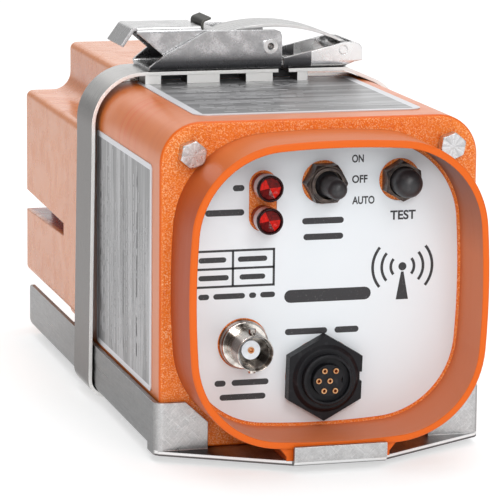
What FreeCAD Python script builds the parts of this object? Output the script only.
import FreeCAD, Part
import math
import os
from FreeCAD import Vector

# Emergency position beacon held in a sheet metal mounting tray by a strap and an over-centre latch.
# Millimetres. +Z is up, -Y is the front with the controls, +X is to the right seen from the front.
# The origin is the centre of the tray's four screw holes, on the surface that the tray stands on.

# ---- driving dimensions -------------------------------------------------------------------
SHEET = 1.2                     # tray sheet thickness
FOOT_DROP = 2.0                 # depth of the tray's pressed feet
BODY = 86.0                     # side of the square housing
BODY_Z0 = FOOT_DROP + SHEET     # underside of the housing, on the tray floor
MID_Z = BODY_Z0 + BODY / 2      # height of the housing's long axis
HALF = BODY / 2
CORNER_R = 11.0                 # outer corner radius of the housing
WALL = 3.0
FACE_Y = -80.0                  # plane of the housing's front face
SEAM_Y = -1.0                   # where the front housing ends, under the strap
SEAL = 1.0                      # seam gasket thickness
FLANGE_END_Y = 11.5             # rear end of the full square section
REAR_Y = 93.5                   # rear end of the battery case

COLLAR_HALF = 40.13             # collar, half width at the middle of a side
COLLAR_SIDE_R = 220.0           # large radius of each slightly bulged side
COLLAR_CORNER_R = 25.0
COLLAR_WALL = 1.9
COLLAR_DEPTH = 19.8             # how far the collar stands in front of the face
WELL_FLOOR_Y = FACE_Y - 2.0     # moulded floor of the recessed panel
PANEL_BACK_Y = FACE_Y + 1.2     # back of that floor
LABEL_T = 0.3
LABEL_Y = WELL_FLOOR_Y - LABEL_T

NOTCH_W = 13.8                  # rear case corner notches
NOTCH_H = 14.6
NOTCH_R = 5.5
SLOT_Y0 = 38.3                  # side slot in the rear case
SLOT_DEPTH = 8.0

BOLT_OFFSET = 35.0              # corner bolts from the housing's axis
BOLT_R = 2.0
BOLT_GAP = 0.15                 # clearance round a bolt's shank
BOLT_AF = 6.35
BOSS_R = 6.0
WASHER_R = 3.1
WASHER_T = 0.8
BOLT_HEAD = 3.0
BOLT_PAST = 4.6                 # how far an upper bolt stands out behind the rear case's flange
NUT_T = 3.2
BLIND_Y = FACE_Y + 7.0          # front end of the lower bolts' blind holes

SWITCH_Z = 72.8                 # height of the toggle and the test button
TOGGLE_X = 0.0
TOGGLE_PIVOT_Y = -85.3
TOGGLE_BULB_R = 3.5             # rounded inner end of the toggle's boot
BUTTON_X = 20.8
LED_X = -16.2
LED_Z = (72.7, 64.2)
LED_SLOT_R = 3.75               # the label's opening round the two lights
ANTENNA_X = -21.3
ANTENNA_Z = 31.0
REMOTE_X = 0.3
REMOTE_Z = 21.4
REMOTE_TURN = -1.5              # degrees the hex shell is turned from point-up

TRAY_HALF = 44.6                # tray, outer half width
TRAY_H = 13.95
TRAY_BEND = 3.4                 # outer bend radius along the tray's long edges
TRAY_Y0 = -81.6
TRAY_Y1 = 80.7
FLANGE_X = 30.3                 # inner end of the tray's front flanges
TAB_HALF = 12.46
TAB_Y = -101.5
TAB_H = 5.3
HOLE_X = 30.0                   # mounting holes, half spacings
HOLE_Y = 55.0
HOLE_R = 2.25

STRAP_T = 1.0
STRAP_W = 19.05
STRAP_Y0 = -10.0
STRAP_TOP = 92.9                # outer face of the strap on top

BASE_Y0 = STRAP_Y0 - 1.0        # latch base channel
BASE_Y1 = STRAP_Y0 + STRAP_W + 1.0
PLATE_T = 1.0
RIVET_R = 1.5
PIVOT_X = 5.6                   # lever pivot
PIVOT_Z = 99.5
LINK_X = -9.0                   # link pin in the lever
LINK_Z = 101.6
PIN_R = 1.5
PIN_CLEAR = 0.06
LEVER_TOP = 105.3
KEEPER_BAR_X = 27.4
KEEPER_BAR_Z = 97.8

BOARD_HALF = 36.0
PANEL_BOARD_Y = -68.0
MAIN_BOARD_Y = -48.0
BOARD_T = 1.6
BOARD_CHAMFER = 12.0            # corners cut off the boards, which clears the bolt bosses
POST_X = 31.0
POST_Z = 12.0

CELL_R = 17.1                   # D-size cells
CELL_L = 61.5

TINY = 0.05


# ---- helpers ------------------------------------------------------------------------------
def box(x0, x1, y0, y1, z0, z1):
    return Part.makeBox(x1 - x0, y1 - y0, z1 - z0, Vector(x0, y0, z0))


def rod_y(x, z, radius, y0, y1):
    """Cylinder along Y."""
    return Part.makeCylinder(radius, y1 - y0, Vector(x, y0, z), Vector(0, 1, 0))


def tube_y(x, z, outer, inner, y0, y1):
    return rod_y(x, z, outer, y0, y1).cut(rod_y(x, z, inner, y0 - 1, y1 + 1))


def cone_y(x, z, radius0, radius1, y0, y1):
    return Part.makeCone(radius0, radius1, y1 - y0, Vector(x, y0, z), Vector(0, 1, 0))


def hex_y(x, z, across_flats, y0, y1, turn=0.0):
    """Hexagonal prism along Y; turn 0 puts a corner at +X."""
    radius = across_flats / 2 / math.cos(math.pi / 6)
    angles = [math.radians(turn + 60 * step) for step in range(7)]
    points = [Vector(x + radius * math.cos(a), y0, z + radius * math.sin(a)) for a in angles]
    return Part.Face(Part.makePolygon(points)).extrude(Vector(0, y1 - y0, 0))


def prism_y(points, y0, y1):
    """Extrude a closed outline of (x, z) points along Y."""
    ring = [Vector(x, y0, z) for x, z in points]
    return Part.Face(Part.makePolygon(ring + [ring[0]])).extrude(Vector(0, y1 - y0, 0))


def rounded_y(half_x, half_z, radius, y0, y1, mid_z=MID_Z, x=0.0):
    """Rounded rectangle, centred on the axis, extruded along Y."""
    block = box(x - half_x, x + half_x, y0, y1, mid_z - half_z, mid_z + half_z)
    edges = [e for e in block.Edges if abs(e.tangentAt(e.FirstParameter).y) > 0.99]
    return block.makeFillet(radius, edges)


def shifted(points, offset):
    """The polyline moved sideways by offset, to the left of its direction."""
    lines = [(b[0] - a[0], b[1] - a[1]) for a, b in zip(points, points[1:])]
    normals = [(-dz / math.hypot(dx, dz), dx / math.hypot(dx, dz)) for dx, dz in lines]
    moved = [(points[0][0] + offset * normals[0][0], points[0][1] + offset * normals[0][1])]
    for point, n0, n1 in zip(points[1:], normals, normals[1:]):
        scale = offset / (1 + n0[0] * n1[0] + n0[1] * n1[1])
        moved.append((point[0] + scale * (n0[0] + n1[0]), point[1] + scale * (n0[1] + n1[1])))
    last = normals[-1]
    moved.append((points[-1][0] + offset * last[0], points[-1][1] + offset * last[1]))
    return moved


def bent_edges(points, radii, place):
    """Straight runs joined by tangent arcs; radii belong to the inner points."""
    edges = []
    start = points[0]
    for index, radius in enumerate(radii):
        before, corner, after = points[index], points[index + 1], points[index + 2]
        ax, az = before[0] - corner[0], before[1] - corner[1]
        bx, bz = after[0] - corner[0], after[1] - corner[1]
        la, lb = math.hypot(ax, az), math.hypot(bx, bz)
        ax, az, bx, bz = ax / la, az / la, bx / lb, bz / lb
        half = math.acos(max(-1, min(1, ax * bx + az * bz))) / 2
        back = radius / math.tan(half)
        p = (corner[0] + ax * back, corner[1] + az * back)
        q = (corner[0] + bx * back, corner[1] + bz * back)
        mx, mz = ax + bx, az + bz
        lm = math.hypot(mx, mz)
        reach = radius / math.sin(half) - radius
        mid = (corner[0] + mx / lm * reach, corner[1] + mz / lm * reach)
        edges.append(Part.LineSegment(place(start), place(p)).toShape())
        edges.append(Part.Arc(place(p), place(mid), place(q)).toShape())
        start = q
    edges.append(Part.LineSegment(place(start), place(points[-1])).toShape())
    return edges


def turns_left(a, b, c):
    return (b[0] - a[0]) * (c[1] - b[1]) - (b[1] - a[1]) * (c[0] - b[0]) > 0


def band(points, radii, thickness, place, along):
    """Bent sheet: the path is its right-hand face, radii are that face's bend radii."""
    corners = zip(points, points[1:], points[2:])
    inner = [r - thickness if turns_left(a, b, c) else r + thickness for r, (a, b, c) in zip(radii, corners)]
    other = shifted(points, thickness)
    edges = bent_edges(points, radii, place) + bent_edges(other, inner, place)
    edges.append(Part.LineSegment(place(points[0]), place(other[0])).toShape())
    edges.append(Part.LineSegment(place(points[-1]), place(other[-1])).toShape())
    wire = Part.Wire(Part.__sortEdges__(edges))
    return Part.Face(wire).extrude(along)


def in_xz(y):
    return lambda p: Vector(p[0], y, p[1])


def in_xy(z):
    return lambda p: Vector(p[0], p[1], z)


def in_yz(x):
    return lambda p: Vector(x, p[0], p[1])


def at_corners(make):
    """Call make(sign_x, sign_z) for the four corners."""
    return [make(sx, sz) for sx in (-1, 1) for sz in (-1, 1)]


def bulged(inset, y0, y1):
    """Prism with the collar's outline, moved in by inset: four bulged sides and four round corners."""
    side_c = COLLAR_HALF - COLLAR_SIDE_R
    gap = COLLAR_SIDE_R - COLLAR_CORNER_R
    # corner centre (c, c) with (c - side_c)^2 + c^2 = gap^2
    c = (2 * side_c + math.sqrt(4 * side_c ** 2 - 8 * (side_c ** 2 - gap ** 2))) / 4
    slope = math.atan2(c, c - side_c)
    side_r = COLLAR_SIDE_R - inset
    corner_r = COLLAR_CORNER_R - inset
    edges = []
    for quarter in range(4):
        turn = quarter * math.pi / 2

        def place(x, z, turn=turn):
            across = x * math.cos(turn) - z * math.sin(turn)
            return Vector(across, y0, MID_Z + x * math.sin(turn) + z * math.cos(turn))
        low = place(side_c + side_r * math.cos(slope), -side_r * math.sin(slope))
        mid = place(side_c + side_r, 0)
        high = place(side_c + side_r * math.cos(slope), side_r * math.sin(slope))
        reach = c + corner_r * math.cos(math.pi / 4)
        end = place(side_r * math.sin(slope), side_c + side_r * math.cos(slope))
        edges.append(Part.Arc(low, mid, high).toShape())
        edges.append(Part.Arc(high, place(reach, reach), end).toShape())
    return Part.Face(Part.Wire(edges)).extrude(Vector(0, y1 - y0, 0))


# ---- housing ------------------------------------------------------------------------------
def at_bolt(sx, sz, radius, y0, y1):
    """Cylinder along Y round one corner bolt."""
    return rod_y(sx * BOLT_OFFSET, MID_Z + sz * BOLT_OFFSET, radius, y0, y1)


def bolt_hole(sx, sz, y0, y1):
    return at_bolt(sx, sz, BOLT_R + BOLT_GAP, y0, y1)


def panel_holes(toggle, button, led, antenna, remote, y0, y1):
    return [rod_y(TOGGLE_X, SWITCH_Z, toggle, y0, y1), rod_y(BUTTON_X, SWITCH_Z, button, y0, y1),
            rod_y(LED_X, LED_Z[0], led, y0, y1), rod_y(LED_X, LED_Z[1], led, y0, y1),
            rod_y(ANTENNA_X, ANTENNA_Z, antenna, y0, y1), rod_y(REMOTE_X, REMOTE_Z, remote, y0, y1)]


def front_housing():
    body = rounded_y(HALF, HALF, CORNER_R, FACE_Y, SEAM_Y)
    rim = [e for e in body.Edges if e.BoundBox.YMax < FACE_Y + TINY]
    body = body.makeFillet(1.0, rim)
    collar = bulged(0, FACE_Y - COLLAR_DEPTH, FACE_Y + 0.5)
    lip = [e for e in collar.Edges if e.BoundBox.YMax < FACE_Y - COLLAR_DEPTH + TINY]
    collar = collar.makeFillet(0.6, lip)
    foot = box(-13.9, 13.9, FACE_Y - COLLAR_DEPTH + 0.9, FACE_Y + 0.5, BODY_Z0, BODY_Z0 + 5.5)
    foot = foot.fuse(foot_flare())
    body = body.fuse([collar, foot])
    cavity = rounded_y(HALF - WALL, HALF - WALL, CORNER_R - WALL, FACE_Y + WALL, SEAM_Y + 1)
    boss = at_corners(lambda sx, sz: at_bolt(sx, sz, BOSS_R, FACE_Y, SEAM_Y + 1))
    cavity = cavity.cut(boss[0].fuse(boss[1:]))
    pocket = rounded_y(35.0, 35.0, 20.0, PANEL_BACK_Y, FACE_Y + WALL + 1)
    bolts = at_corners(lambda sx, sz: bolt_hole(sx, sz, FACE_Y - 1 if sz > 0 else BLIND_Y, 0))
    well = bulged(COLLAR_WALL, FACE_Y - COLLAR_DEPTH - 1, WELL_FLOOR_Y)
    holes = panel_holes(3.0, 3.0, 3.0, 4.7, 8.0, -90, -70)
    return body.cut([cavity, pocket, well] + bolts + holes).removeSplitter()


def foot_flare():
    """Sloped cheeks that blend the foot block into the collar."""
    y0 = FACE_Y - COLLAR_DEPTH + 0.9
    z0 = BODY_Z0 + 1.2
    outline = [(-16.6, z0 + 3.4), (-13.9, z0), (13.9, z0), (16.6, z0 + 3.4)]
    return prism_y(outline, y0, FACE_Y + 0.5)


def plus_outline(inset):
    """The rear case's plus-shaped outline, as (x, height from the long axis)."""
    outer = HALF - inset
    arm_x = HALF - NOTCH_W - inset
    arm_z = HALF - NOTCH_H - inset
    return [(outer, -arm_z), (outer, arm_z), (arm_x, arm_z), (arm_x, outer),
            (-arm_x, outer), (-arm_x, arm_z), (-outer, arm_z), (-outer, -arm_z),
            (-arm_x, -arm_z), (-arm_x, -outer), (arm_x, -outer), (arm_x, -arm_z)]


def plus_prism(inset, y0, y1, cove, crown):
    """Plus-shaped prism with coved inner corners and rounded outer corners."""
    outline = [(x, MID_Z + z) for x, z in plus_outline(inset)]
    solid = prism_y(outline, y0, y1)
    inner = [outline[2], outline[5], outline[8], outline[11]]
    coves = []
    for edge in solid.Edges:
        point = edge.Vertexes[0].Point
        is_inner = any(math.hypot(point.x - x, point.z - z) < TINY for x, z in inner)
        if abs(edge.tangentAt(edge.FirstParameter).y) > 0.99 and is_inner:
            coves.append(edge)
    solid = solid.makeFillet(cove, coves)
    crowns = []
    for edge in solid.Edges:
        point = edge.Vertexes[0].Point
        reach = max(abs(point.x), abs(point.z - MID_Z))
        if abs(edge.tangentAt(edge.FirstParameter).y) > 0.99 and reach > HALF - inset - 1:
            crowns.append(edge)
    return solid.makeFillet(crown, crowns)


def side_slot(side, grow=0.0, back=REAR_Y + 1):
    """Tapered slot open to the side and the rear, wider towards the rear."""
    mid = MID_Z - 5.75
    front, rear = 1.85 + grow, 3.15 + grow
    inner = (HALF - SLOT_DEPTH - grow) * side
    outer = (HALF + 1) * side
    x0, x1 = min(inner, outer), max(inner, outer)
    ring = [Vector(x0, SLOT_Y0 - grow, mid - front), Vector(x0, back, mid - rear),
            Vector(x0, back, mid + rear), Vector(x0, SLOT_Y0 - grow, mid + front)]
    return Part.Face(Part.makePolygon(ring + [ring[0]])).extrude(Vector(x1 - x0, 0, 0))


def rear_case():
    flange = rounded_y(HALF, HALF, CORNER_R, SEAM_Y + SEAL, FLANGE_END_Y)
    plus = plus_prism(0, SEAM_Y + SEAL, REAR_Y, NOTCH_R, 2.0)
    back = [e for e in plus.Edges if e.BoundBox.YMin > REAR_Y - TINY]
    plus = plus.makeFillet(1.2, back)
    hollow = plus_prism(WALL, SEAM_Y, REAR_Y - WALL, NOTCH_R, 1.5)
    walls = [side_slot(side, 2.2, REAR_Y - 1) for side in (-1, 1)]
    keep = plus.common(walls[0].fuse(walls[1]))
    slots = [side_slot(side) for side in (-1, 1)]
    bolts = at_corners(lambda sx, sz: bolt_hole(sx, sz, -5, 20))
    case = flange.fuse(plus).cut(hollow).fuse(keep)
    return case.cut(slots + bolts).removeSplitter()


def seam_gasket():
    ring = rounded_y(HALF - 0.4, HALF - 0.4, CORNER_R - 0.4, SEAM_Y, SEAM_Y + SEAL)
    hollow = plus_prism(WALL, SEAM_Y - 1, SEAM_Y + SEAL + 1, NOTCH_R, 1.5)
    holes = at_corners(lambda sx, sz: bolt_hole(sx, sz, -5, 5))
    return ring.cut([hollow] + holes)


def corner_bolt(sx, sz):
    """The upper bolts enter from the front and take nuts; the lower ones screw in from the rear."""
    x, z = sx * BOLT_OFFSET, MID_Z + sz * BOLT_OFFSET
    if sz > 0:
        under = FACE_Y - WASHER_T
        tip, far = under - BOLT_HEAD, 0.5
        shank = rod_y(x, z, BOLT_R, under - 0.2, FLANGE_END_Y + BOLT_PAST)
        head = hex_y(x, z, BOLT_AF, tip, under, 20)
    else:
        under = FLANGE_END_Y + WASHER_T
        tip, far = under + BOLT_HEAD, -0.5
        shank = rod_y(x, z, BOLT_R, BLIND_Y + 1.0, under + 0.2)
        head = hex_y(x, z, BOLT_AF, under, tip, 20)
    crown = cone_y(x, z, 3.3, 3.8, tip, tip + 0.5) if sz > 0 else cone_y(x, z, 3.8, 3.3, tip - 0.5, tip)
    rest = rod_y(x, z, 3.8, min(tip + far, under), max(tip + far, under))
    return head.common(crown.fuse(rest)).fuse(shank).removeSplitter()


def bolt_washer(sx, sz):
    seat = FACE_Y - WASHER_T if sz > 0 else FLANGE_END_Y
    return tube_y(sx * BOLT_OFFSET, MID_Z + sz * BOLT_OFFSET, WASHER_R, BOLT_R, seat, seat + WASHER_T)


def bolt_nut(sx):
    x, z = sx * BOLT_OFFSET, MID_Z + BOLT_OFFSET
    return hex_y(x, z, BOLT_AF, FLANGE_END_Y, FLANGE_END_Y + NUT_T, 15).cut(rod_y(x, z, BOLT_R, 0, 30))


# ---- labels -------------------------------------------------------------------------------
def panel_label():
    plate = bulged(COLLAR_WALL + 1.0, LABEL_Y, WELL_FLOOR_Y)
    cuts = panel_holes(5.75, 5.6, LED_SLOT_R, 6.75, 10.0, -90, -70)
    led_slot = box(LED_X - LED_SLOT_R, LED_X + LED_SLOT_R, -90, -70, LED_Z[1], LED_Z[0])
    return plate.cut(cuts + [led_slot])


def side_label():
    plate = box(-HALF - 0.25, -HALF, -71.55, -7.3, 16.7, 77.0)
    edges = [e for e in plate.Edges if abs(e.tangentAt(e.FirstParameter).x) > 0.99]
    return plate.makeFillet(1.5, edges)


def top_label():
    top = MID_Z + HALF
    plate = box(-31.2, 31.2, -70.4, -2.0, top, top + 0.25)
    edges = [e for e in plate.Edges if abs(e.tangentAt(e.FirstParameter).z) > 0.99]
    return plate.makeFillet(4.0, edges)


# ---- indicator lights ---------------------------------------------------------------------
def led_lens(z):
    front = LABEL_Y - 7.5
    cap = rod_y(LED_X, z, 3.5, front, front + 4.6)
    cap = cap.makeFillet(0.5, [e for e in cap.Edges if e.BoundBox.YMax < front + TINY])
    neck = rod_y(LED_X, z, 3.1, front + 4, WELL_FLOOR_Y)
    cap = cap.fuse([neck, rod_y(LED_X, z, 3.0, WELL_FLOOR_Y - 1, PANEL_BACK_Y + 1.8)])
    return cap.cut(rod_y(LED_X, z, 2.5, front + 2.2, -70)).removeSplitter()


def led_rings():
    return [tube_y(LED_X, z, 4.2, 3.0, PANEL_BACK_Y, PANEL_BACK_Y + 1.8) for z in LED_Z]


def led_emitters():
    return [rod_y(LED_X, z, 2.4, -85.0, PANEL_BOARD_Y) for z in LED_Z]


# ---- antenna jack -------------------------------------------------------------------------
def antenna_jack_shell():
    x, z = ANTENNA_X, ANTENNA_Z
    mouth = LABEL_Y - 12.5
    flange = rod_y(x, z, 6.4, WELL_FLOOR_Y - 2.9, WELL_FLOOR_Y)
    flange = flange.makeFillet(0.6, [e for e in flange.Edges if e.BoundBox.YMax < WELL_FLOOR_Y - 2.8])
    barrel = rod_y(x, z, 4.82, mouth, WELL_FLOOR_Y)
    barrel = barrel.makeFillet(0.12, [e for e in barrel.Edges if e.BoundBox.YMax < mouth + TINY])
    bevel = cone_y(x, z, 4.62, 4.05, mouth - 0.01, mouth + 1.0)
    thread = rod_y(x, z, 4.7, WELL_FLOOR_Y - 1, -71.0)
    lugs = Part.makeCylinder(1.0, 11.6, Vector(x, mouth + 3.6, z - 5.8), Vector(0, 0, 1))
    shell = flange.fuse([barrel, thread, lugs])
    return shell.cut([bevel, rod_y(x, z, 4.05, mouth - 1, -84.5), rod_y(x, z, 1.9, -90, -70)]).removeSplitter()


def antenna_jack_dielectric():
    front = LABEL_Y - 8.0
    body = rod_y(ANTENNA_X, ANTENNA_Z, 2.5, front, -84.5)
    tail = rod_y(ANTENNA_X, ANTENNA_Z, 1.9, -85, -71.0)
    return body.fuse(tail).cut(rod_y(ANTENNA_X, ANTENNA_Z, 0.85, -100, -60)).removeSplitter()


def antenna_jack_contact():
    front = LABEL_Y - 8.4
    pin = rod_y(ANTENNA_X, ANTENNA_Z, 0.85, front, -70.5)
    return pin.cut(cone_y(ANTENNA_X, ANTENNA_Z, 0.6, 0.3, front - 0.01, front + 0.5))


def antenna_jack_washer():
    return tube_y(ANTENNA_X, ANTENNA_Z, 7.4, 4.7, PANEL_BACK_Y, PANEL_BACK_Y + 0.6)


def antenna_jack_nut():
    y0 = PANEL_BACK_Y + 0.6
    return hex_y(ANTENNA_X, ANTENNA_Z, 13.0, y0, y0 + 2.4).cut(rod_y(ANTENNA_X, ANTENNA_Z, 4.7, -90, -60))


# ---- remote jack --------------------------------------------------------------------------
REMOTE_HEX_T = 3.5
REMOTE_FACE_Y = LABEL_Y - REMOTE_HEX_T
REMOTE_LIP_Y = REMOTE_FACE_Y - 2.8
CONTACT_R = 0.73
CONTACT_RING = 3.05             # pitch radius of the five outer contacts


def remote_jack_shell():
    x, z = REMOTE_X, REMOTE_Z
    plate = hex_y(x, z, 19.83, REMOTE_FACE_Y, LABEL_Y, 30 + REMOTE_TURN)
    seat = rod_y(x, z, 9.7, LABEL_Y - 0.5, WELL_FLOOR_Y)
    step = cone_y(x, z, 8.0, 9.0, REMOTE_FACE_Y - 0.9, REMOTE_FACE_Y)
    barrel = rod_y(x, z, 6.8, REMOTE_LIP_Y, WELL_FLOOR_Y)
    barrel = barrel.makeFillet(0.4, [e for e in barrel.Edges if e.BoundBox.YMax < REMOTE_LIP_Y + TINY])
    thread = rod_y(x, z, 8.0, WELL_FLOOR_Y - 0.5, -71.0)
    notch = box(x + 9.3, x + 12, REMOTE_FACE_Y - 1, LABEL_Y - 0.5, z - 1.25, z + 1.25)
    groove = tube_y(x, z, 5.9, 4.3, REMOTE_LIP_Y - 1, REMOTE_LIP_Y + 1.6)
    shell = plate.fuse([seat, step, barrel, thread]).cut([notch, groove, rod_y(x, z, 4.3, -100, -60)])
    return shell.removeSplitter()


def contact_places():
    """Six contacts: the middle and five round it with the key side left free."""
    places = [(REMOTE_X + 0.2, REMOTE_Z)]
    for angle in (60, 120, 180, 240, 300):
        turn = math.radians(angle + REMOTE_TURN)
        across, up = CONTACT_RING * math.cos(turn), CONTACT_RING * math.sin(turn)
        places.append((places[0][0] + across, REMOTE_Z + up))
    return places


def remote_jack_insert():
    disc = rod_y(REMOTE_X, REMOTE_Z, 4.25, REMOTE_LIP_Y - 0.3, -70.0)
    key = rod_y(REMOTE_X + 4.9, REMOTE_Z, 1.5, REMOTE_LIP_Y - 1, REMOTE_LIP_Y + 3)
    holes = [rod_y(x, z, CONTACT_R, -100, -60) for x, z in contact_places()]
    return disc.cut([key] + holes)


def remote_jack_contacts():
    front = REMOTE_LIP_Y - 0.7
    return [rod_y(x, z, CONTACT_R, front, PANEL_BOARD_Y).cut(rod_y(x, z, 0.42, front - 1, front + 3))
            for x, z in contact_places()]


def remote_jack_seal():
    return tube_y(REMOTE_X, REMOTE_Z, 9.4, 8.0, PANEL_BACK_Y, PANEL_BACK_Y + 0.8)


def remote_jack_nut():
    y0 = PANEL_BACK_Y + 0.8
    return hex_y(REMOTE_X, REMOTE_Z, 19.0, y0, y0 + 2.6).cut(rod_y(REMOTE_X, REMOTE_Z, 8.0, -90, -60))


# ---- master toggle switch -----------------------------------------------------------------
def toggle_body():
    x, z = TOGGLE_X, SWITCH_Z
    case = box(x - 6.4, x + 6.4, PANEL_BACK_Y + 2.0, PANEL_BOARD_Y, z - 6.4, z + 6.4)
    bushing = rod_y(x, z, 3.0, -84.5, PANEL_BACK_Y + 2.5)
    return case.fuse(bushing).cut(rod_y(x, z, 2.4, -90, -80.0)).removeSplitter()


def inside_nut(x):
    y0 = PANEL_BACK_Y
    return hex_y(x, SWITCH_Z, 8.0, y0, y0 + 2.0).cut(rod_y(x, SWITCH_Z, 3.0, -90, -60))


def toggle_boot_base():
    """Hex nut moulded to the boot: a cup for the boot's bulb and a bead round its mouth."""
    x, z = TOGGLE_X, SWITCH_Z
    front, seat = -86.6, -84.9
    flats = hex_y(x, z, 9.8, front, WELL_FLOOR_Y)
    crown = cone_y(x, z, 4.9, 5.8, front, front + 0.9).fuse(rod_y(x, z, 5.8, front + 0.9, WELL_FLOOR_Y))
    bead = rod_y(x, z, 4.7, front - 1.0, front + 0.5)
    bead = bead.makeFillet(0.45, [e for e in bead.Edges if e.BoundBox.YMax < front - 0.9])
    cup = rod_y(x, z, TOGGLE_BULB_R + 0.3, front - 2, seat)
    return flats.common(crown).fuse(bead).cut([cup, rod_y(x, z, 3.0, -90, -70)]).removeSplitter()


def toggle_boot_sleeve():
    x, z = TOGGLE_X, SWITCH_Z
    pivot = Vector(x, TOGGLE_PIVOT_Y, z)
    bulb = Part.makeSphere(TOGGLE_BULB_R, pivot)
    bulb = bulb.common(box(x - 9, x + 9, -99, TOGGLE_PIVOT_Y - 0.8, z - 9, z + 9))
    stem = cone_y(x, z, 2.6, 2.9, -94.5, -87.0)
    ball = Part.makeSphere(2.6, Vector(x, -94.5, z))
    return bulb.fuse([stem, ball]).cut(rod_y(x, z, 1.3, -94.0, -80)).removeSplitter()


def toggle_lever():
    """Bat stem with the cross pin it tips on."""
    stem = rod_y(TOGGLE_X, SWITCH_Z, 1.3, -94.0, -82.5)
    pin = Part.makeCylinder(0.7, 5.2, Vector(TOGGLE_X - 2.6, TOGGLE_PIVOT_Y, SWITCH_Z), Vector(1, 0, 0))
    return stem.fuse(pin).removeSplitter()


# ---- test button --------------------------------------------------------------------------
def button_body():
    x, z = BUTTON_X, SWITCH_Z
    case = rod_y(x, z, 5.5, PANEL_BACK_Y + 2.0, PANEL_BOARD_Y)
    bushing = rod_y(x, z, 3.0, -83.6, PANEL_BACK_Y + 2.5)
    return case.fuse(bushing).cut(rod_y(x, z, 1.05, -90, -70.0)).removeSplitter()


def button_boot_base():
    x, z = BUTTON_X, SWITCH_Z
    front = -86.4
    flats = hex_y(x, z, 9.3, front, WELL_FLOOR_Y, 30)
    crown = cone_y(x, z, 4.7, 5.5, front, front + 0.8).fuse(rod_y(x, z, 5.5, front + 0.8, WELL_FLOOR_Y))
    return flats.common(crown).cut([rod_y(x, z, 3.0, -90, -70), rod_y(x, z, 4.1, -90, -83.5)])


def button_boot_cap():
    x, z = BUTTON_X, SWITCH_Z
    dome_y = -89.4
    skirt = rod_y(x, z, 3.8, dome_y, -84.9)
    dome = Part.makeSphere(3.8, Vector(x, dome_y, z))
    return skirt.fuse(dome).cut(rod_y(x, z, 2.9, -88.6, -84)).removeSplitter()


def button_plunger():
    x, z = BUTTON_X, SWITCH_Z
    return rod_y(x, z, 1.0, -88.2, -72.5).fuse(rod_y(x, z, 2.7, -88.6, -88.0)).removeSplitter()


def button_spring():
    """Folded metal bellows that pushes the plunger and boot back out, as long as when pressed."""
    folds, inner, outer, y0, y1 = 4, 1.5, 2.6, -86.7, -83.7
    step = (y1 - y0) / folds
    path = [(outer if index % 2 else inner, y0 + index * step) for index in range(folds + 1)]
    ring = path + list(reversed(shifted(path, 0.2)))
    points = [Vector(BUTTON_X + r, y, SWITCH_Z) for r, y in ring]
    face = Part.Face(Part.makePolygon(points + [points[0]]))
    return face.revolve(Vector(BUTTON_X, 0, SWITCH_Z), Vector(0, 1, 0), 360)


# ---- boards -------------------------------------------------------------------------------
def board(y0):
    plate = rounded_y(BOARD_HALF, BOARD_HALF, 1.0, y0, y0 + BOARD_T)
    chamfers = []
    for sx in (-1, 1):
        for sz in (-1, 1):
            near, far = BOARD_HALF - BOARD_CHAMFER, BOARD_HALF + 1
            points = [(near, far), (far, near), (far, far)]
            points = [(sx * x, MID_Z + sz * z) for x, z in points]
            chamfers.append(prism_y(points, y0 - 1, y0 + BOARD_T + 1))
    return plate.cut(chamfers)


def post_places():
    return [(sx * POST_X, MID_Z + sz * POST_Z) for sx in (-1, 1) for sz in (-1, 1)]


def panel_board():
    holes = [rod_y(x, z, 1.3, -80, -40) for x, z in post_places()]
    holes.append(rod_y(ANTENNA_X, ANTENNA_Z, 4.0, -80, -40))
    return board(PANEL_BOARD_Y).cut(holes)


def main_board():
    holes = [rod_y(x, z, 1.3, -80, -40) for x, z in post_places()]
    holes.append(rod_y(ANTENNA_X, ANTENNA_Z, 0.6, -80, -40))
    return board(MAIN_BOARD_Y).cut(holes)


def board_posts():
    posts = []
    for x, z in post_places():
        posts.append(rod_y(x, z, 2.6, PANEL_BACK_Y, PANEL_BOARD_Y))
        posts.append(tube_y(x, z, 2.6, 1.2, PANEL_BOARD_Y + BOARD_T, MAIN_BOARD_Y))
    return posts


def board_screws():
    screws = []
    back = MAIN_BOARD_Y + BOARD_T
    for x, z in post_places():
        shank = rod_y(x, z, 1.2, back - 12, back)
        screws.append(shank.fuse(rod_y(x, z, 2.4, back, back + 1.6)).removeSplitter())
    return screws


def rf_shield():
    y0 = MAIN_BOARD_Y + BOARD_T
    can = rounded_y(24, 24, 2.0, y0, y0 + 12)
    return can.cut(rounded_y(23.4, 23.4, 1.4, y0 - 1, y0 + 11.4))


def crash_switch():
    body = rod_y(18.0, MID_Z - 20, 6.0, MAIN_BOARD_Y - 16, MAIN_BOARD_Y)
    return body.makeFillet(0.8, [e for e in body.Edges if e.BoundBox.YMax < MAIN_BOARD_Y - 15.9])


def rf_coax():
    return rod_y(ANTENNA_X, ANTENNA_Z, 1.1, -70.5, MAIN_BOARD_Y)


# ---- battery ------------------------------------------------------------------------------
def cell_places():
    return [MID_Z - CELL_R - 0.4, MID_Z + CELL_R + 0.4]


BATTERY_Y0 = 18.0


def battery_cells():
    cells = []
    for z in cell_places():
        can = rod_y(0, z, CELL_R - 0.1, BATTERY_Y0, BATTERY_Y0 + CELL_L - 1.5)
        cells.append(can.fuse(rod_y(0, z, 4.5, BATTERY_Y0 - 0.1, BATTERY_Y0 + CELL_L)).removeSplitter())
    return cells


def battery_cradle():
    block = box(-25.0, 25.0, BATTERY_Y0 + 4, BATTERY_Y0 + CELL_L - 5, MID_Z - 38.5, MID_Z + 38.5)
    block = block.makeFillet(4.0, [e for e in block.Edges if abs(e.tangentAt(e.FirstParameter).y) > 0.99])
    return block.cut([rod_y(0, z, CELL_R + 0.1, 0, 99) for z in cell_places()])


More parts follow.
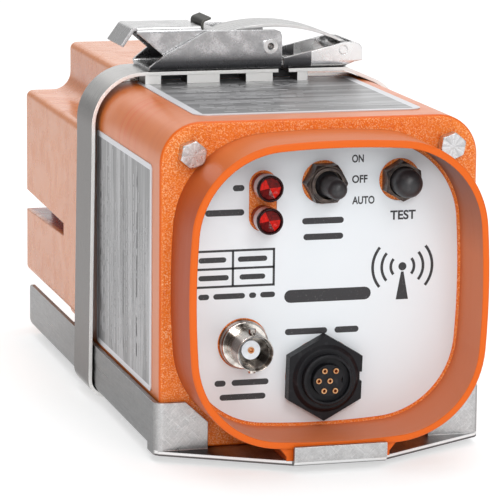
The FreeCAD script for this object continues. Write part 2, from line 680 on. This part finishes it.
def contact_plate():
    return box(-14, 14, BATTERY_Y0 - 1.9, BATTERY_Y0 - 0.3, MID_Z - 34, MID_Z + 34).cut(
        [rod_y(0, z, 4.6, 0, 99) for z in cell_places()])


def battery_pad():
    return box(-20, 20, BATTERY_Y0 + CELL_L, REAR_Y - WALL - 0.5, MID_Z - 30, MID_Z + 30)


# ---- tray ---------------------------------------------------------------------------------
def dimple(x, y):
    """Pressed round foot: a shallow cup with the screw hole in its bottom."""
    up = Vector(0, 0, 1)
    outer = Part.makeCone(6.2, 8.0, FOOT_DROP, Vector(x, y, 0), up)
    outer = outer.fuse(Part.makeCylinder(8.0, SHEET, Vector(x, y, FOOT_DROP), up))
    inner = Part.makeCone(5.4, 7.2, FOOT_DROP, Vector(x, y, SHEET), up)
    return outer, inner, Part.makeCylinder(HOLE_R, 10, Vector(x, y, -2), up)


def tray():
    z0 = FOOT_DROP
    top = z0 + TRAY_H
    section = [(-TRAY_HALF, top), (-TRAY_HALF, z0), (TRAY_HALF, z0), (TRAY_HALF, top)]
    channel = band(section, [TRAY_BEND, TRAY_BEND], SHEET, in_xz(TRAY_Y0), Vector(0, TRAY_Y1 - TRAY_Y0, 0))
    for side in (-1, 1):
        x0, x1 = sorted((side * 43, side * 46))
        corner = box(x0, x1, TRAY_Y1 - 2, TRAY_Y1 + 1, top - 2, top + 1)
        keep = Part.makeCylinder(2.0, 6, Vector(side * 44.5 - 3, TRAY_Y1 - 2, top - 2), Vector(1, 0, 0))
        channel = channel.cut(corner.cut(keep))
    inside = TRAY_HALF - TRAY_BEND
    channel = channel.cut(box(-inside, inside, TRAY_Y0 - 1, TRAY_Y0 + SHEET, z0 + SHEET, top + 1))
    flanges = []
    for side in (-1, 1):
        path = [(side * FLANGE_X, TRAY_Y0), (side * TRAY_HALF, TRAY_Y0), (side * TRAY_HALF, TRAY_Y0 + 8)]
        thickness = SHEET if side > 0 else -SHEET
        flange = bent_corner(path, thickness, z0, top)
        cut = prism_y([(side * (FLANGE_X + 6.1), top + 0.1), (side * (FLANGE_X - 0.1), top - 5.7),
                       (side * (FLANGE_X - 0.1), top + 0.1)], TRAY_Y0 - 1, TRAY_Y0 + 3)
        flanges.append(flange.cut(cut))
        x0, x1 = sorted((side * 40, side * 47))
        channel = channel.cut(box(x0, x1, TRAY_Y0 - 1, TRAY_Y0 + 3, z0 - 1, top + 1))
    apron = [(-43.6, TRAY_Y0 + 3), (-43.6, TRAY_Y0 + 0.2), (-TAB_HALF, TAB_Y + 2.4), (-TAB_HALF, TAB_Y - 1),
             (TAB_HALF, TAB_Y - 1), (TAB_HALF, TAB_Y + 2.4), (43.6, TRAY_Y0 + 0.2), (43.6, TRAY_Y0 + 3)]
    ring = [Vector(x, y, -1) for x, y in apron]
    stencil = Part.Face(Part.makePolygon(ring + [ring[0]])).extrude(Vector(0, 0, 20))
    lip = [(TAB_Y, z0 + TAB_H), (TAB_Y, z0), (TRAY_Y0 + 3, z0)]
    floor = band(lip, [2.2], SHEET, in_yz(-45), Vector(90, 0, 0)).common(stencil)
    solid = channel.fuse(flanges + [floor])
    for x in (-HOLE_X, HOLE_X):
        for y in (-HOLE_Y, HOLE_Y):
            outer, inner, hole = dimple(x, y)
            solid = solid.fuse(outer).cut([inner, hole])
    return solid.removeSplitter()


def bent_corner(path, thickness, z0, z1):
    """Tray wall turned round the front corner."""
    if thickness > 0:
        return band(path, [2.4], thickness, in_xy(z0), Vector(0, 0, z1 - z0))
    mirrored = [(-x, y) for x, y in path]
    right = band(mirrored, [2.4], -thickness, in_xy(z0), Vector(0, 0, z1 - z0))
    return right.mirror(Vector(0, 0, 0), Vector(1, 0, 0))


# ---- strap --------------------------------------------------------------------------------
def strap():
    """Band under the tray and up both sides; its two ends lie on top under the latch."""
    low = FOOT_DROP - STRAP_T
    path = [(8.4, STRAP_TOP), (-45.3, STRAP_TOP), (-45.3, 72.0), (-46.3, low), (46.45, low),
            (44.3, 72.0), (44.15, 86.2), (28.6, STRAP_TOP), (11.4, STRAP_TOP)]
    radii = [15.0, 60.0, 5.0, 5.0, 40.0, 12.1, 4.0]
    return band(path, radii, STRAP_T, in_xz(STRAP_Y0), Vector(0, STRAP_W, 0))


def strap_pads():
    pads = []
    low, high = MID_Z + HALF + 0.25, STRAP_TOP - STRAP_T
    for x0, x1 in ((-30.0, -25.5), (-18.0, -8.6), (-1.0, 6.8), (14.0, 17.0)):
        pads.append(box(x0, x1, STRAP_Y0 + 0.2, -2.2, low, high))
    return pads


# ---- latch --------------------------------------------------------------------------------
def latch_base():
    floor = STRAP_TOP
    section = [(BASE_Y0, 104.2), (BASE_Y0, floor), (BASE_Y1, floor), (BASE_Y1, 104.2)]
    channel = band(section, [2.2, 2.2], PLATE_T, in_yz(-30), Vector(40, 0, 0))
    side = prism_y([(-29.0, floor - 1), (-29.0, floor + 1.4), (-25.0, 97.5), (-13.6, 103.6), (-12.2, 104.1),
                    (7.1, 104.1), (8.6, 103.5), (9.1, 102.0), (9.1, floor - 1)], BASE_Y0 - 1, BASE_Y1 + 1)
    pivot = rod_y(PIVOT_X, PIVOT_Z, PIN_R, BASE_Y0 - 1, BASE_Y1 + 1)
    return channel.common(side).cut([pivot] + rivet_holes()[:4])


def rivet_places():
    mid = STRAP_Y0 + STRAP_W / 2
    return [(-21, mid - 5), (-21, mid + 5), (-4, mid - 5), (-4, mid + 5), (16.5, mid - 5), (16.5, mid + 5)]


def rivet_holes():
    return [Part.makeCylinder(RIVET_R, 4, Vector(x, y, STRAP_TOP - 2), Vector(0, 0, 1)) for x, y in rivet_places()]


def latch_rivets():
    up = Vector(0, 0, 1)
    rivets = []
    for x, y in rivet_places():
        shank = Part.makeCylinder(RIVET_R, PLATE_T, Vector(x, y, STRAP_TOP), up)
        head = Part.makeSphere(3.0, Vector(x, y, STRAP_TOP + PLATE_T - 2.2))
        head = head.common(box(x - 4, x + 4, y - 4, y + 4, STRAP_TOP + PLATE_T, STRAP_TOP + 5))
        rivets.append(shank.fuse(head).removeSplitter())
    return rivets


def latch_pivot_pin():
    """Tubular rivet through the base channel, with rolled rims outside."""
    outer = rod_y(PIVOT_X, PIVOT_Z, PIN_R, BASE_Y0 - 0.1, BASE_Y1 + 0.1)
    rims = [rod_y(PIVOT_X, PIVOT_Z, 2.1, y, y + 0.7) for y in (BASE_Y0 - 0.7, BASE_Y1)]
    return outer.fuse(rims).cut(rod_y(PIVOT_X, PIVOT_Z, 0.95, BASE_Y0 - 3, BASE_Y1 + 3)).removeSplitter()


LEVER_Y0 = BASE_Y0 + PLATE_T + 0.3
LEVER_Y1 = BASE_Y1 - PLATE_T - 0.3


def latch_lever():
    top = LEVER_TOP
    section = [(LEVER_Y0, 93.0), (LEVER_Y0, top), (LEVER_Y1, top), (LEVER_Y1, 93.0)]
    section = list(reversed(section))
    channel = band(section, [1.6, 1.6], PLATE_T, in_yz(-32.3), Vector(50, 0, 0))
    side = prism_y([(-32.3, 110), (-32.3, 103.6), (-31.4, 103.0), (-24.7, 97.3), (3.0, 96.2), (5.6, 95.5),
                    (8.4, 96.7), (9.6, 99.5), (8.4, 102.3), (5.6, 103.5), (-13.9, 104.3), (-13.9, 110)],
                   LEVER_Y0 - 1, LEVER_Y1 + 1)
    body = channel.common(side)
    opening = box(-13.9, 20, LEVER_Y0 + PLATE_T, LEVER_Y1 - PLATE_T, 90, 110)
    body = body.cut(opening)
    pivot = rod_y(PIVOT_X, PIVOT_Z, PIN_R + PIN_CLEAR, LEVER_Y0 - 1, LEVER_Y1 + 1)
    link = rod_y(LINK_X, LINK_Z, PIN_R, LEVER_Y0 - 1, LEVER_Y1 + 1)
    rivets = [Part.makeCylinder(0.9, 4, Vector(x, y, top - 3), Vector(0, 0, 1)) for x, y in spring_rivet_places()]
    return body.fuse(finger_lip()).cut([pivot, link] + rivets).removeSplitter()


def finger_lip():
    """Down-turned finger lip at the lever's free end."""
    path = [(-31.9, LEVER_TOP), (-33.4, LEVER_TOP), (-36.9, 100.4)]
    lip = band(path, [1.4], PLATE_T, in_xz(LEVER_Y0 + 1.0), Vector(0, LEVER_Y1 - LEVER_Y0 - 2.0, 0))
    return lip


def spring_rivet_places():
    mid = STRAP_Y0 + STRAP_W / 2
    return [(-20.0, mid - 4), (-20.0, mid + 4)]


def catch_spring():
    """Thin spring finger under the lever's plate; its tip turns up past the plate's end."""
    low = LEVER_TOP - PLATE_T - 0.6
    path = [(-24.0, low), (-12.9, low), (-12.9, LEVER_TOP + 1.0), (-10.7, LEVER_TOP + 1.8)]
    strip = band(path, [0.9, 0.8], 0.6, in_xz(-8.0), Vector(0, 12.4, 0))
    rivets = [Part.makeCylinder(0.9, 4, Vector(x, y, low - 1), Vector(0, 0, 1)) for x, y in spring_rivet_places()]
    return strip.cut(rivets)


def lever_rivets():
    up = Vector(0, 0, 1)
    rivets = []
    low = LEVER_TOP - PLATE_T - 0.6
    for x, y in spring_rivet_places():
        shank = Part.makeCylinder(0.9, LEVER_TOP - low, Vector(x, y, low), up)
        head = Part.makeCone(1.2, 1.7, 0.6, Vector(x, y, low - 0.6), up)
        rivets.append(shank.fuse(head).removeSplitter())
    return rivets


def link_pin():
    return rod_y(LINK_X, LINK_Z, PIN_R, LEVER_Y0, LEVER_Y1)


LINK_T = 0.85
LINK_BOW_R = 46.7
LINK_APEX_X = 7.0
LINK_APEX_Z = 105.4


def bow_point(x, inset=0.0):
    """Point of the bowed strip at x, inset below its top face."""
    drop = math.sqrt(LINK_BOW_R ** 2 - (x - LINK_APEX_X) ** 2)
    centre_z = LINK_APEX_Z - LINK_BOW_R
    scale = (LINK_BOW_R - inset) / LINK_BOW_R
    return (LINK_APEX_X + (x - LINK_APEX_X) * scale, centre_z + drop * scale)


def tension_link():
    """Bowed spring strip: an eye on the link pin, a hook round the keeper bar."""
    y0, width = STRAP_Y0 + 1.9, STRAP_W - 3.8
    x0, x1 = -8.3, 28.2
    place = in_xz(y0)
    mid_x = (x0 + x1) / 2
    top = Part.Arc(place(bow_point(x0)), place(bow_point(mid_x)), place(bow_point(x1))).toShape()
    bottom_points = [bow_point(x, LINK_T) for x in (x1, mid_x, x0)]
    bottom = Part.Arc(*[place(p) for p in bottom_points]).toShape()
    end1 = Part.LineSegment(place(bow_point(x1)), place(bottom_points[0])).toShape()
    end0 = Part.LineSegment(place(bottom_points[2]), place(bow_point(x0))).toShape()
    bow = Part.Face(Part.Wire([top, end1, bottom, end0])).extrude(Vector(0, width, 0))
    eye = rod_y(LINK_X, LINK_Z, PIN_R + PIN_CLEAR + LINK_T, y0, y0 + width)
    slope = (x1 - LINK_APEX_X) / LINK_BOW_R
    solid = bow.fuse([eye, link_hook(bow_point(x1), slope, y0, width)])
    return solid.cut(rod_y(LINK_X, LINK_Z, PIN_R + PIN_CLEAR, y0 - 1, y0 + width + 1)).removeSplitter()


def link_hook(tip, slope, y0, width):
    """The end of the strip turned down past the keeper bar."""
    ahead = (tip[0] + 2.2 * math.cos(slope), tip[1] - 2.2 * math.sin(slope))
    start = (tip[0] - 0.4 * math.cos(slope), tip[1] + 0.4 * math.sin(slope))
    path = [(ahead[0] - 0.1, 96.6), ahead, start]
    return band(path, [1.4], LINK_T, in_xz(y0), Vector(0, width, 0))


def keeper_bracket():
    floor = STRAP_TOP
    y0, y1 = STRAP_Y0, STRAP_Y0 + STRAP_W
    section = [(y0, 101.0), (y0, floor), (y1, floor), (y1, 101.0)]
    channel = band(section, [2.0, 2.0], PLATE_T, in_yz(10.0), Vector(22.9, 0, 0))
    channel = channel.cut(box(28.2, 40, y0 + PLATE_T, y1 - PLATE_T, 80, 110))
    end = box(31.9, 32.9, y0 + 0.5, y1 - 0.5, 94.8, 99.4)
    side = prism_y([(10.0, floor - 1), (10.0, 95.9), (27.8, 100.0), (30.6, 100.0), (32.2, 99.4), (32.9, 98.3),
                    (32.9, 94.8), (30.6, 94.4), (28.6, 93.5), (28.1, floor - 1)], y0 - 1, y1 + 1)
    solid = channel.fuse(end).common(side)
    bar = rod_y(KEEPER_BAR_X, KEEPER_BAR_Z, 1.2, y0 - 1, y1 + 1)
    return solid.cut([bar] + rivet_holes()[4:]).removeSplitter()


def keeper_bar():
    return rod_y(KEEPER_BAR_X, KEEPER_BAR_Z, 1.2, STRAP_Y0, STRAP_Y0 + STRAP_W)


# ---- write one file per node --------------------------------------------------------------
NODES = {
    "front_housing": front_housing, "rear_case": rear_case, "seam_gasket": seam_gasket,
    "corner_bolts": lambda: at_corners(corner_bolt), "bolt_washers": lambda: at_corners(bolt_washer),
    "bolt_nuts": lambda: [bolt_nut(-1), bolt_nut(1)],
    "panel_label": panel_label, "side_label": side_label, "top_label": top_label,
    "led_lens_upper": lambda: led_lens(LED_Z[0]), "led_lens_lower": lambda: led_lens(LED_Z[1]),
    "led_rings": led_rings, "led_emitters": led_emitters,
    "antenna_jack_shell": antenna_jack_shell, "antenna_jack_dielectric": antenna_jack_dielectric,
    "antenna_jack_contact": antenna_jack_contact, "antenna_jack_washer": antenna_jack_washer,
    "antenna_jack_nut": antenna_jack_nut,
    "remote_jack_shell": remote_jack_shell, "remote_jack_insert": remote_jack_insert,
    "remote_jack_contacts": remote_jack_contacts, "remote_jack_seal": remote_jack_seal,
    "remote_jack_nut": remote_jack_nut,
    "toggle_body": toggle_body, "toggle_nut": lambda: inside_nut(TOGGLE_X),
    "toggle_boot_base": toggle_boot_base, "toggle_boot_sleeve": toggle_boot_sleeve, "toggle_lever": toggle_lever,
    "button_body": button_body, "button_nut": lambda: inside_nut(BUTTON_X),
    "button_boot_base": button_boot_base, "button_boot_cap": button_boot_cap, "button_plunger": button_plunger,
    "button_spring": button_spring,
    "panel_board": panel_board, "main_board": main_board, "board_posts": board_posts,
    "board_screws": board_screws, "rf_shield": rf_shield, "crash_switch": crash_switch, "rf_coax": rf_coax,
    "battery_cells": battery_cells, "battery_cradle": battery_cradle, "battery_contact_plate": contact_plate,
    "battery_pad": battery_pad,
    "mounting_tray": tray, "strap": strap, "strap_pads": strap_pads,
    "latch_base": latch_base, "latch_rivets": latch_rivets, "latch_pivot_pin": latch_pivot_pin,
    "latch_lever": latch_lever, "catch_spring": catch_spring, "lever_rivets": lever_rivets, "link_pin": link_pin,
    "tension_link": tension_link, "keeper_bracket": keeper_bracket, "keeper_bar": keeper_bar,
}


def main():
    os.makedirs("parts", exist_ok=True)
    for name, make in NODES.items():
        made = make()
        shape = Part.makeCompound(made) if isinstance(made, list) else made
        if not shape.isValid() or not shape.Solids:
            print("bad shape", name)
        print(name, len(shape.Solids), round(shape.Volume, 1))
        shape.exportStep("parts/%s.step" % name)


main()
